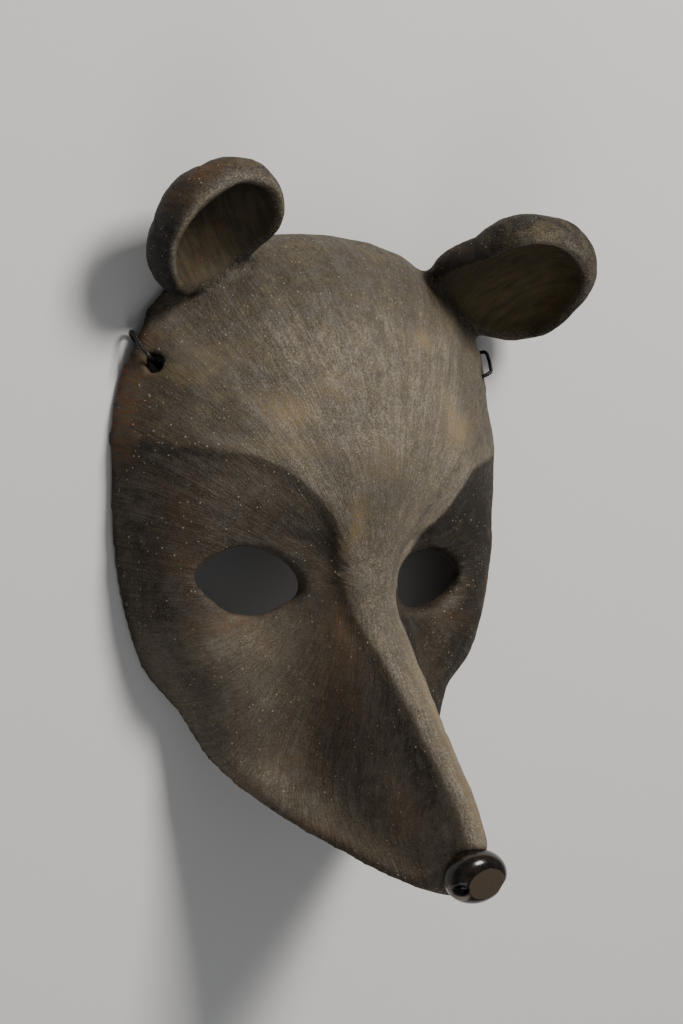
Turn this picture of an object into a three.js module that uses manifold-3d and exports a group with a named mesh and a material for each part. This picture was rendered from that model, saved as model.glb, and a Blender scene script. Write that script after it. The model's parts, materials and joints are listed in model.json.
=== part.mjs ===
// A wearable animal mask of fired clay, made as a thin hollow shell: a high domed forehead, two
// almond eye holes, two cupped ears with rolled rims, and a long snout whose lower edges run
// forward, open beneath, to a glazed nose knob. A thin tie cord runs from temple to temple.
// It lies on the flat back of its rim, face up.
import * as THREE from "three";
import { mergeVertices } from "three/addons/utils/BufferGeometryUtils.js";
import Module from "manifold-3d";

// Driving dimensions, in millimetres. The face frame has x to the mask's left ear seen from the
// front right-hand side, y towards the top of the head and z out of the face, from the rim plane.
const WALL = 5.5; // thickness of the shell
const CENTRE_Y = 10; // height of the face's centre, from which the edge is measured
const NOSE_GAP = 0.35; // gap left round the nose knob in its socket
// The eye holes were cut by hand and differ a little in length.
const EYES = [
  { x: 28.4, y: 0.5, halfLength: 14.9, halfHeight: 9, tilt: 7, point: 0.35 },
  { x: -34.6, y: 0.4, halfLength: 17.4, halfHeight: 10, tilt: -7, point: 0.35 },
];
const TIE_HOLE = { x: 61.2, y: 63.2, z: 10.1, radius: 2.9, across: 0.74, up: 0.22, out: 0.62 };
const CORD_DIAMETER = 1.2;
const CORD_STEPS = 80;

// The edge of the shell from the snout's tip (0 degrees) round one side to the top of the head
// (180 degrees): how far it lies from the face's centre, how high it stands over the rim plane,
// how much higher the surface is just inside it, and how tightly the surface turns down there.
const EDGE = {
  angle: [0, 6, 12, 20, 30, 42, 56, 72, 88, 104, 120, 140, 160, 180],
  radius: [93.5, 92, 88, 83, 77, 68.5, 67.5, 66.5, 67.5, 71.2, 79.8, 91.5, 95.5, 95],
  height: [84, 76, 58, 37, 18, 5, 0, 0, 0, 0, 0, 0, 0, 0],
  lip: [9, 8, 8, 8, 11, 18, 26, 28.5, 28.5, 27, 24.5, 21, 36, 43],
  roundness: [16, 15, 14, 13, 12, 12, 10.5, 7, 5, 3.1, 2.2, 1.7, 2.1, 2.5],
};
// The rim stands a little clear of the ground where the tie cord passes under it.
const CORD_ARCH = { angle: 133.5, halfWidth: 5, height: 3.6 };

// The mid-line of the face from the snout's tip up: the height of the ridge's crest, the height
// of the face beside it, and half the ridge's width.
const CREST = {
  y: [-92, -80, -70, -60, -50, -40, -28, -18, -9, 0, 8, 16, 26, 40, 60, 110],
  z: [96, 96, 95, 90.5, 83, 74, 64, 54.5, 47, 43.5, 42.5, 44, 45.5, 46, 46, 46],
};
const BESIDE = {
  y: [-90, -60, -40, -20, -6, 5, 15, 25, 35, 48, 62, 110],
  z: [26, 25, 25, 27, 26.5, 27.5, 30.5, 35, 39.5, 43, 45, 45],
};
const RIDGE = {
  y: [-90, -70, -50, -30, -10, 5, 15, 25, 33, 42, 55],
  halfWidth: [8.5, 10, 11.5, 12.5, 12.5, 12.5, 15, 22, 32, 48, 60],
};
const RIDGE_LEANS = { by: 1.3, from: -20, to: -75 }; // towards positive x, on the way to the tip
const EYE_HOLLOW = { x: 31, y: 3, wide: 18, high: 14, depth: 2.2 };

// Each ear is a dish: the centre of its mouth, the mouth's two axes, its width and length, and
// where round the mouth it is pinched in towards the head, and by what share.
const EARS = [
  {
    centre: [57.1, 90.9, 28.4],
    across: [0.83, -0.5, -0.25],
    along: [0.5, 0.42, 0.76],
    wide: 45,
    long: 47,
    pinch: { turn: 190, share: 0.24 },
  },
  {
    centre: [-48.7, 99.1, 27.8],
    across: [-0.8, -0.57, -0.17],
    along: [-0.55, 0.66, 0.51],
    wide: 39.5,
    long: 39.5,
    pinch: { turn: 225, share: 0.09 },
  },
];
// A dish's profile: share of the mouth's half size, and height over the mouth. It runs from the
// middle of the cup over the rolled rim to the middle of the back.
const DISH = {
  share: [0, 0.35, 0.6, 0.78, 0.88, 1, 1.1, 1.15, 1.12, 1, 0.75, 0.4, 0],
  height: [-12, -11.2, -8.6, -4.6, -1.4, 0.8, -0.4, -4, -8, -11.8, -15.2, -17.2, -18],
};
const DISH_SHALLOWER_AT_BASE = 0.45;
const DISH_SINKS_AT_BASE = 8; // the rim runs down into the head there
const DISH_PINCH_REACH = 32; // degrees

const NOSE = { x: 0.8, y: -76.5, z: 92.5, halfWidth: 10, halfHeight: 7.8, halfDepth: 7, tilt: 15 };
// Extra clay behind the knob, and how far from it the clay thins out.
const NOSE_BACKING = { depth: 6, from: 7, to: 20 };
const NOSTRIL_RADIUS = 2;
const NOSTRILS = [
  [-7.6, -2.4, 3.9],
  [8.8, -2.4, 2.6],
];

// The cord's route on the side of positive x: from its knot behind the temple out through the tie
// hole, over the outside to the rim, and back in under the rim, where it passes its own knot.
const CORD_AT_TEMPLE = [
  [52.2, 60.1, 2.65],
  [55.4, 61.9, 5.1],
  [58.7, 63.1, 7.3],
  [61.5, 64.1, 9.6],
  [63.5, 65.4, 10.1],
  [64.6, 67.2, 8.5],
  [65.2, 69.4, 6.8],
  [65.6, 71.7, 4.4],
  [64.7, 71.3, 1.9],
  [62.3, 69.1, 0.8],
  [58.6, 65.6, 0.8],
  [53.4, 61.2, 0.8],
];
// Between the temples the cord lies slack on the ground inside the hollow.
const CORD_SLACK = [
  [-43, 50, 0.8],
  [-29, 41, 0.8],
  [-12, 40, 0.8],
  [0, 49, 0.8],
  [1, 63, 0.8],
  [-8, 74, 0.8],
  [-12, 86, 0.8],
  [-2, 94, 0.8],
  [12, 91, 0.8],
  [19, 79, 0.8],
  [20, 64, 0.8],
  [29, 53, 0.8],
  [42, 53, 0.8],
];

// How finely the surfaces are divided.
const AROUND = 84;
const OUTER_RINGS = 16;
const INNER_RINGS = 13;

const degrees = THREE.MathUtils.degToRad;

// A smooth curve through the nodes: a cubic on each stretch, with slopes taken from the nodes
// on either side.
function through(x, xs, ys) {
  const last = xs.length - 1;
  const at = Math.min(Math.max(x, xs[0]), xs[last]);
  const i = Math.min(Math.max(xs.findIndex((node) => node >= at) - 1, 0), last - 1);
  const chord = (k) => (ys[k + 1] - ys[k]) / (xs[k + 1] - xs[k]);
  const slope = (k) => {
    if (k === 0) return chord(0);
    if (k === last) return chord(last - 1);
    const before = xs[k] - xs[k - 1];
    const after = xs[k + 1] - xs[k];
    return (chord(k - 1) * after + chord(k) * before) / (before + after);
  };
  const span = xs[i + 1] - xs[i];
  const t = (at - xs[i]) / span;
  const square = t * t;
  const cube = square * t;
  return (
    (2 * cube - 3 * square + 1) * ys[i] +
    (cube - 2 * square + t) * span * slope(i) +
    (3 * square - 2 * cube) * ys[i + 1] +
    (cube - square) * span * slope(i + 1)
  );
}

function ease(from, to, x) {
  const t = Math.min(Math.max((x - from) / (to - from), 0), 1);
  return t * t * (3 - 2 * t);
}

// The edge's values at an angle from 0 to 180 degrees. The nodes are mirrored past both ends, so
// that the curve is level there.
function edgeAt(angle, values) {
  const start = [-EDGE.angle[2], -EDGE.angle[1]];
  const end = [360 - EDGE.angle.at(-2), 360 - EDGE.angle.at(-3)];
  const xs = [...start, ...EDGE.angle, ...end];
  const ys = [values[2], values[1], ...values, values.at(-2), values.at(-3)];
  return through(angle, xs, ys);
}

function edgeHeight(angle) {
  const share = (angle - CORD_ARCH.angle) / CORD_ARCH.halfWidth;
  return Math.max(edgeAt(angle, EDGE.height), 0) + CORD_ARCH.height * Math.exp(-(share ** 4));
}

// The face beside the mid-line, before it turns down at the edge: it runs from its own height to
// the lip's height at the edge.
function base(y, angle, share) {
  const spread = 3 + 4 * (1 - ease(25, 80, angle));
  const nearEdge = share ** spread;
  const lip = edgeAt(angle, EDGE.height) + edgeAt(angle, EDGE.lip);
  return through(y, BESIDE.y, BESIDE.z) * (1 - nearEdge) + lip * nearEdge;
}

// Height of the outer surface over the rim plane at (x, y).
function outerHeight(x, y) {
  const side = Math.abs(x);
  const angle = THREE.MathUtils.radToDeg(Math.atan2(side, CENTRE_Y - y));
  const share = Math.min(Math.hypot(x, y - CENTRE_Y) / edgeAt(angle, EDGE.radius), 1);
  const middle = y < CENTRE_Y ? 0 : 180;
  const middleShare = Math.min(Math.abs(y - CENTRE_Y) / edgeAt(middle, EDGE.radius), 1);
  const rise = through(y, CREST.y, CREST.z) - base(y, middle, middleShare);
  const fromCrest = Math.abs(x - RIDGE_LEANS.by * ease(RIDGE_LEANS.from, RIDGE_LEANS.to, y));
  const ridge = 1 / (1 + (fromCrest / through(y, RIDGE.y, RIDGE.halfWidth)) ** 3);
  const hollow =
    EYE_HOLLOW.depth *
    Math.exp(-(((side - EYE_HOLLOW.x) / EYE_HOLLOW.wide) ** 2) - ((y - EYE_HOLLOW.y) / EYE_HOLLOW.high) ** 2);
  const face = base(y, angle, share) + rise * ridge * (1 - ease(38, 62, y)) - hollow;
  const edge = edgeHeight(angle);
  const turn = Math.sqrt(Math.max(1 - share ** edgeAt(angle, EDGE.roundness) - 1e-6, 0));
  return edge + (face - edge) * turn;
}

// Height of the inner surface: the outer one less a ball of the wall's thickness rolled under it.
const BALL = [];
for (let ring = 0; ring <= 4; ring++) {
  const reach = (WALL * ring) / 4;
  for (let k = 0; k < Math.max(1, ring * 6); k++) {
    const turn = (2 * Math.PI * k) / Math.max(1, ring * 6);
    BALL.push([reach * Math.cos(turn), reach * Math.sin(turn), Math.sqrt(WALL ** 2 - reach ** 2)]);
  }
}
function innerHeight(x, y) {
  const under = BALL.map(([dx, dy, drop]) => outerHeight(x + dx, y + dy) - drop);
  const fromNose = Math.hypot(x - NOSE.x, y - NOSE.y);
  const backing = NOSE_BACKING.depth * (1 - ease(NOSE_BACKING.from, NOSE_BACKING.to, fromNose));
  return Math.max(Math.min(...under) - backing, 0);
}

// The sectors round the face's centre, closer together at the snout's ridge.
const SECTORS = [];
for (let k = 0; k < AROUND; k++) {
  const u = (2 * k) / AROUND - 1;
  SECTORS.push(180 * (0.5 * u + 0.5 * u ** 3));
}
function outlinePoint(angle, share, inset) {
  const turn = degrees(angle);
  const reach = share * (edgeAt(Math.abs(angle), EDGE.radius) - inset);
  return [reach * Math.sin(turn), CENTRE_Y - reach * Math.cos(turn)];
}
// Measured along the ray from the centre, the wall is thicker where the ray meets it aslant.
function insetAt(angle) {
  const step = 1;
  const a = Math.abs(angle);
  const change = (edgeAt(a + step, EDGE.radius) - edgeAt(Math.abs(a - step), EDGE.radius)) / degrees(2 * step);
  return WALL * Math.hypot(1, change / edgeAt(a, EDGE.radius));
}

function ringsOf(count, heightAt, inset) {
  const rings = [];
  for (let r = 1; r <= count; r++) {
    const share = Math.sin((r / count) * (Math.PI / 2));
    rings.push(
      SECTORS.map((angle) => {
        const [x, y] = outlinePoint(angle, share, inset(angle));
        return [x, y, heightAt(x, y)];
      }),
    );
  }
  return rings;
}

// A closed mesh from rings of points between two poles.
function closedMesh(firstPole, rings, lastPole) {
  const size = rings[0].length;
  const points = [firstPole, ...rings.flat(), lastPole];
  const index = [];
  const at = (ring, k) => 1 + ring * size + (k % size);
  for (let k = 0; k < size; k++) {
    index.push(0, at(0, k), at(0, k + 1));
    for (let ring = 0; ring + 1 < rings.length; ring++) {
      index.push(at(ring, k), at(ring + 1, k), at(ring + 1, k + 1));
      index.push(at(ring, k), at(ring + 1, k + 1), at(ring, k + 1));
    }
    index.push(points.length - 1, at(rings.length - 1, k + 1), at(rings.length - 1, k));
  }
  const geometry = new THREE.BufferGeometry();
  geometry.setAttribute("position", new THREE.Float32BufferAttribute(points.flat(), 3));
  geometry.setIndex(index);
  return geometry;
}

function dishGeometry({ centre, across, along, wide, long, pinch }) {
  const v = new THREE.Vector3(...across).normalize();
  const w = new THREE.Vector3(...along);
  w.addScaledVector(v, -w.dot(v)).normalize();
  const out = new THREE.Vector3().crossVectors(v, w);
  if (out.z < 0) out.negate();
  const point = (k, turn) => {
    const fromPinch = Math.acos(Math.cos(turn - degrees(pinch.turn))) / degrees(DISH_PINCH_REACH);
    const share = DISH.share[k] * (1 - pinch.share * Math.exp(-(fromPinch ** 2)));
    const atBase = Math.max(-Math.sin(turn), 0) * Math.min(DISH.share[k], 1);
    const height = DISH.height[k] * (1 - DISH_SHALLOWER_AT_BASE * atBase) - DISH_SINKS_AT_BASE * atBase ** 2;
    return new THREE.Vector3(...centre)
      .addScaledVector(v, (wide / 2) * share * Math.cos(turn))
      .addScaledVector(w, (long / 2) * share * Math.sin(turn))
      .addScaledVector(out, height)
      .toArray();
  };
  const sides = 30;
  const turnWay = Math.sign(new THREE.Vector3().crossVectors(v, w).dot(out));
  const rings = [];
  for (let k = 1; k + 1 < DISH.share.length; k++) {
    rings.push(Array.from({ length: sides }, (_, i) => point(k, (turnWay * 2 * Math.PI * i) / sides)));
  }
  return closedMesh(point(0, 0), rings, point(DISH.share.length - 1, 0));
}

const wasm = await Module();
wasm.setup();

function solid(geometry) {
  const bare = geometry.clone();
  bare.deleteAttribute("normal");
  bare.deleteAttribute("uv");
  const merged = mergeVertices(bare, 1e-4);
  const made = new wasm.Manifold(
    new wasm.Mesh({
      numProp: 3,
      vertProperties: merged.getAttribute("position").array,
      triVerts: new Uint32Array(merged.getIndex().array),
    }),
  );
  if (made.volume() > 0) return made;
  const index = merged.getIndex().array;
  for (let i = 0; i < index.length; i += 3) [index[i], index[i + 1]] = [index[i + 1], index[i]];
  return solid(merged);
}

function geometryOf(made) {
  const mesh = made.getMesh();
  const geometry = new THREE.BufferGeometry();
  geometry.setAttribute("position", new THREE.BufferAttribute(new Float32Array(mesh.vertProperties), 3));
  geometry.setIndex(new THREE.BufferAttribute(new Uint32Array(mesh.triVerts), 1));
  geometry.computeVertexNormals();
  return geometry;
}

// The wall: the outer surface, over the edge, and back along the inner surface.
function wallSolid() {
  const outer = ringsOf(OUTER_RINGS, outerHeight, () => 0);
  const inner = ringsOf(INNER_RINGS, innerHeight, insetAt);
  const top = [0, CENTRE_Y, outerHeight(0, CENTRE_Y)];
  const under = [0, CENTRE_Y, innerHeight(0, CENTRE_Y)];
  return solid(closedMesh(top, [...outer, ...inner.reverse()], under));
}

// The hollow behind the face, reaching well past the rim plane.
function hollowSolid() {
  const depth = -20;
  const inner = ringsOf(INNER_RINGS, innerHeight, insetAt);
  const skirt = inner.at(-1).map(([x, y]) => [x, y, depth]);
  return solid(closedMesh([0, CENTRE_Y, innerHeight(0, CENTRE_Y)], [...inner, skirt], [0, CENTRE_Y, depth]));
}

// An almond with pointed ends, cut straight through the face.
function eyeSolid(eye) {
  const shape = new THREE.Shape();
  const steps = 36;
  for (let k = 0; k < steps; k++) {
    const turn = (2 * Math.PI * k) / steps;
    const narrow = Math.abs(Math.sin(turn)) ** eye.point;
    const along = eye.halfLength * Math.cos(turn);
    const up = eye.halfHeight * Math.sin(turn) * narrow;
    const tilt = degrees(eye.tilt);
    const x = eye.x + along * Math.cos(tilt) - up * Math.sin(tilt);
    const y = eye.y + along * Math.sin(tilt) + up * Math.cos(tilt);
    if (k === 0) shape.moveTo(x, y);
    else shape.lineTo(x, y);
  }
  return solid(new THREE.ExtrudeGeometry(shape, { depth: 70, steps: 1, bevelEnabled: false, curveSegments: 1 }));
}

function tieHoleSolid(side) {
  const drill = new THREE.CylinderGeometry(TIE_HOLE.radius, TIE_HOLE.radius, 24, 20);
  const axis = new THREE.Vector3(side * TIE_HOLE.across, TIE_HOLE.up, TIE_HOLE.out).normalize();
  drill.applyQuaternion(new THREE.Quaternion().setFromUnitVectors(new THREE.Vector3(0, 1, 0), axis));
  drill.translate(side * TIE_HOLE.x, TIE_HOLE.y, TIE_HOLE.z);
  return solid(drill);
}

// The nose is a squat oval knob with a flattened front and two nostrils.
function noseGeometry(grow) {
  const knob = new THREE.SphereGeometry(1, 24, 14);
  knob.rotateX(Math.PI / 2);
  const position = knob.getAttribute("position");
  for (let i = 0; i < position.count; i++) {
    const forward = position.getZ(i);
    position.setZ(i, forward > 0 ? forward * (1 - 0.22 * forward ** 2) : forward);
  }
  knob.scale(NOSE.halfWidth + grow, NOSE.halfHeight + grow, NOSE.halfDepth + grow);
  return knob;
}
function placeNose(geometry) {
  geometry.rotateX(degrees(NOSE.tilt));
  geometry.translate(NOSE.x, NOSE.y, NOSE.z);
  return geometry;
}
function noseSolid() {
  let made = solid(placeNose(noseGeometry(0)));
  for (const middle of NOSTRILS) {
    const nostril = new THREE.SphereGeometry(NOSTRIL_RADIUS, 12, 8);
    nostril.scale(1.15, 0.9, 1.3);
    nostril.translate(...middle);
    made = made.subtract(solid(placeNose(nostril)));
  }
  return made;
}

function maskSolid() {
  const hollow = hollowSolid();
  let made = wallSolid();
  for (const ear of EARS) made = made.add(solid(dishGeometry(ear)).subtract(hollow));
  for (const eye of EYES) made = made.subtract(eyeSolid(eye));
  for (const side of [-1, 1]) made = made.subtract(tieHoleSolid(side));
  made = made.subtract(solid(placeNose(noseGeometry(NOSE_GAP))));
  const bodies = made.decompose().sort((a, b) => b.volume() - a.volume());
  return bodies[0];
}

function cordGeometry() {
  const start = CORD_AT_TEMPLE.map(([x, y, z]) => [-x, y, z]);
  const end = [...CORD_AT_TEMPLE].reverse();
  const route = [...start, ...CORD_SLACK, ...end].map((at) => new THREE.Vector3(...at));
  const section = new THREE.Shape();
  const sides = 8;
  for (let k = 0; k < sides; k++) {
    const turn = (2 * Math.PI * k) / sides;
    const x = (CORD_DIAMETER / 2) * Math.cos(turn);
    const y = (CORD_DIAMETER / 2) * Math.sin(turn);
    if (k === 0) section.moveTo(x, y);
    else section.lineTo(x, y);
  }
  return new THREE.ExtrudeGeometry(section, {
    steps: CORD_STEPS,
    bevelEnabled: false,
    extrudePath: new THREE.CatmullRomCurve3(route, false, "centripetal"),
  });
}

const clay = new THREE.MeshStandardMaterial({ color: 0x6f6557, roughness: 0.85, metalness: 0 });
const glaze = new THREE.MeshStandardMaterial({ color: 0x1d1712, roughness: 0.15, metalness: 0 });
const elastic = new THREE.MeshStandardMaterial({ color: 0x0c0c0d, roughness: 0.5, metalness: 0 });

function piece(name, geometry, material) {
  const mesh = new THREE.Mesh(geometry, material);
  mesh.name = name;
  return mesh;
}

const mask = piece("mask", geometryOf(maskSolid()), clay);
const nose = piece("nose", geometryOf(noseSolid()), glaze);

// The part's origin is under the middle of the mask and nose, on the ground.
const rigid = new THREE.Group();
rigid.add(mask, nose);
const box = new THREE.Box3().setFromObject(rigid);
const middle = box.getCenter(new THREE.Vector3());

const part = new THREE.Group();
part.add(rigid, piece("cord", geometryOf(solid(cordGeometry())), elastic));
part.position.set(-middle.x, -middle.y, -box.min.z);
export default part;
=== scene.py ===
# %% [markdown]
# # A fired clay animal mask, dressed for rendering
# The frame gives the mask's plain solids at their true size. This lesson replaces each of them
# with a finely worked surface of the same size and place, and gives it the finish of brushed
# slip on gritty clay. Everything is in metres in the frame's own axes, with Z up.

# %% Load the frame
import json
import bpy
import numpy as np
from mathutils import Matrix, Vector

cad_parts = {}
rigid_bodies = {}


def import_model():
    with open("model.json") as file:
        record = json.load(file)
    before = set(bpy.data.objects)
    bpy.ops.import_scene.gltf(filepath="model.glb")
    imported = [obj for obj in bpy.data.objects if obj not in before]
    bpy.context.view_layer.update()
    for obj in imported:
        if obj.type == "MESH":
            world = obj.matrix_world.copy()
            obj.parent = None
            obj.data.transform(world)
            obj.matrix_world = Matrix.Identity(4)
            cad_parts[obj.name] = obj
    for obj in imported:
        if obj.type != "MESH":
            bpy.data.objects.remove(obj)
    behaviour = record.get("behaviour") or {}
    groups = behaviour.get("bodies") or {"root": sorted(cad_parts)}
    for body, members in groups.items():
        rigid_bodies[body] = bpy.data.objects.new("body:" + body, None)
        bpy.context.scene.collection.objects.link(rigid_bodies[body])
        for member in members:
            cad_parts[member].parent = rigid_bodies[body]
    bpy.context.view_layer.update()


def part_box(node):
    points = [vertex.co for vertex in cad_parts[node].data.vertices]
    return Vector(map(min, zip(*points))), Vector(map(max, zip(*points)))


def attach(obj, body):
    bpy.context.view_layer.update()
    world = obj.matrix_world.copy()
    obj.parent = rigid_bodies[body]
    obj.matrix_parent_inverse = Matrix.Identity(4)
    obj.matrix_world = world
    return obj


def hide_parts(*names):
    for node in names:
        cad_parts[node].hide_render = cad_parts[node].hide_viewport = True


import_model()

# %% [markdown]
# ## The face's own axes
# All shapes below are worked out in millimetres in the face's own axes: x across the face, y
# towards the top of the head, and z out of the face from the plane that the rim lies in. The
# frame's origin is under the middle of the part, so one shift takes a face point to the frame.
# The shift is read from the solids' boxes: the nose sits 0.8 mm beside the face's middle line,
# and the mask's lowest edge is 83.5 mm below the face's y zero.

# %% From the face's axes to the frame
LOWEST_EDGE = 83.5
NOSE_ASIDE = 0.8
nose_box = np.array([list(corner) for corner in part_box("nose")])
mask_box = np.array([list(corner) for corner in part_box("mask")])
middle_x = nose_box[:, 0].mean() - NOSE_ASIDE / 1000
SHIFT = np.array([middle_x, mask_box[0, 1] + LOWEST_EDGE / 1000, 0.0])


def to_frame(points):
    """Millimetres in the face's axes to metres in the frame."""
    return np.asarray(points, float) / 1000 + SHIFT


print("shift, mm:", np.round(SHIFT * 1000, 3))

# %% [markdown]
# ## The camera
# The camera looks down on the lying mask from its right-hand side, 35 degrees round and 3
# degrees up from straight in front of the face, turned 2.5 degrees about its own axis. It could
# be aimed with a constraint, but its matrix is written out here, because the three axes of the
# view are what those angles are given about.

# %% Camera
VIEWPOINT = np.array([-398.7, 57.1, 590.2])
ROUND, RISE, ROLL = np.radians([35.0, 3.0, 2.5])
FOCAL_PIXELS = 2300.0
IMAGE_HEIGHT = 1024


def add_object(name, data):
    """A new object at the origin with a mesh's, a light's or a camera's data."""
    made = bpy.data.objects.new(name, data)
    bpy.context.scene.collection.objects.link(made)
    return made


def place_by_axes(item, right, up, back, at):
    """Turns an object to three axes and moves it to a face point in mm."""
    matrix = np.eye(4)
    matrix[:3, :3] = np.stack([right, up, back], -1)
    matrix[:3, 3] = to_frame(at)
    item.matrix_world = matrix.T


back = np.array([-np.sin(ROUND) * np.cos(RISE), np.sin(RISE), np.cos(ROUND) * np.cos(RISE)])
level = np.array([np.cos(ROUND), 0.0, np.sin(ROUND)])
upright = np.cross(back, level)
right = level * np.cos(ROLL) + upright * np.sin(ROLL)
up = upright * np.cos(ROLL) - level * np.sin(ROLL)
camera = add_object("camera", bpy.data.cameras.new("camera"))
place_by_axes(camera, right, up, back, VIEWPOINT)
camera.data.sensor_width = 36.0
camera.data.lens = FOCAL_PIXELS / IMAGE_HEIGHT * camera.data.sensor_width
camera.data.clip_start, camera.data.clip_end = 0.01, 20.0
bpy.context.scene.camera = camera
print("camera at, m:", np.round(to_frame(VIEWPOINT), 3), "lens, mm:", round(camera.data.lens, 2))

# %% [markdown]
# ## Surfaces from grids
# Every new piece is a grid of points worked out by numpy. A closed one is a stack of rings
# between two poles, so that no opening is left. The faces could be made one by one in Python,
# but whole arrays of corner numbers are faster and shorter, and foreach_set puts them in.

# %% Closed surfaces from rings


def mesh_from(name, points, corners):
    """A mesh in the frame's metres from face points in mm and a table of triangles or quads."""
    mesh = bpy.data.meshes.new(name)
    corners = np.asarray(corners, np.int32)
    count, sides = corners.shape
    mesh.vertices.add(len(points))
    mesh.vertices.foreach_set("co", to_frame(points).astype(np.float32).ravel())
    mesh.loops.add(count * sides)
    mesh.loops.foreach_set("vertex_index", corners.ravel())
    mesh.polygons.add(count)
    mesh.polygons.foreach_set("loop_start", np.arange(count, dtype=np.int32) * sides)
    mesh.update(calc_edges=True)
    mesh.shade_smooth()
    return mesh


def closed(name, first_pole, rings, last_pole):
    """A closed mesh from a pole, rings of equal size in order, and a pole. Its triangles are all
    turned over if the volume that they enclose comes out negative."""
    rings = np.asarray(rings, float)
    count, size = rings.shape[:2]
    points = np.concatenate([[first_pole], rings.reshape(-1, 3), [last_pole]])
    k = np.arange(size)
    after = (k + 1) % size
    start = 1 + np.arange(count - 1)[:, None] * size
    a, b, c, d = (start + k, start + after, start + size + after, start + size + k)
    last = 1 + (count - 1) * size
    first_cap = [0 * k, 1 + k, 1 + after]
    last_cap = [0 * k + len(points) - 1, last + after, last + k]
    tables = [first_cap, [a, d, c], [a, c, b], last_cap]
    corners = np.concatenate([np.stack(table, -1).reshape(-1, 3) for table in tables])
    p, q, r = (points[corners[:, i]] for i in range(3))
    volume = np.einsum("ij,ij->i", p, np.cross(q, r)).sum() / 6
    return mesh_from(name, points, corners if volume > 0 else corners[:, ::-1])


def store(mesh, **fields):
    """Numbers or vectors kept on the mesh's points, which a finish reads by their names."""
    for name, values in fields.items():
        kind, key = ("FLOAT", "value") if values.ndim == 1 else ("FLOAT_VECTOR", "vector")
        kept = mesh.attributes.new(name, kind, "POINT")
        kept.data.foreach_set(key, values.astype(np.float32).ravel())


def full_turn(count):
    """Angles evenly round a full turn."""
    return np.linspace(0, 2 * np.pi, count, endpoint=False)


def unit(vectors):
    """The vectors scaled to length 1."""
    return vectors / np.linalg.norm(vectors, axis=-1, keepdims=True)


def hump(away, width, power=2):
    """1 where away is 0, and e to the -(away / width)^power elsewhere."""
    return np.exp(-((away / width) ** power))


print("surface helpers ready")

# %% [markdown]
# ## Shader arithmetic
# A finish is a web of nodes, and a web written link by link hides its formula. Here one small
# class wraps a node's output, and Python's own signs add the Math nodes, so that 1 - mask reads
# as it does on paper. Any other node comes from one method that is given its kind, its settings
# and its inputs.

# %% A finish and its signals


class Signal:
    """The output of a node, which Python's arithmetic signs turn into Math nodes."""

    def __init__(self, finish, socket):
        self.finish = finish
        self.socket = socket

    def math(self, operation, first, second):
        """A Math node of two signals, or of a signal and a number."""
        return self.finish.node("ShaderNodeMath", {0: first, 1: second}, operation=operation)

    def __add__(self, other):
        return self.math("ADD", self, other)

    def __sub__(self, other):
        return self.math("SUBTRACT", self, other)

    def __rsub__(self, other):
        return self.math("SUBTRACT", other, self)

    def __mul__(self, other):
        return self.math("MULTIPLY", self, other)

    __radd__ = __add__
    __rmul__ = __mul__


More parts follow.
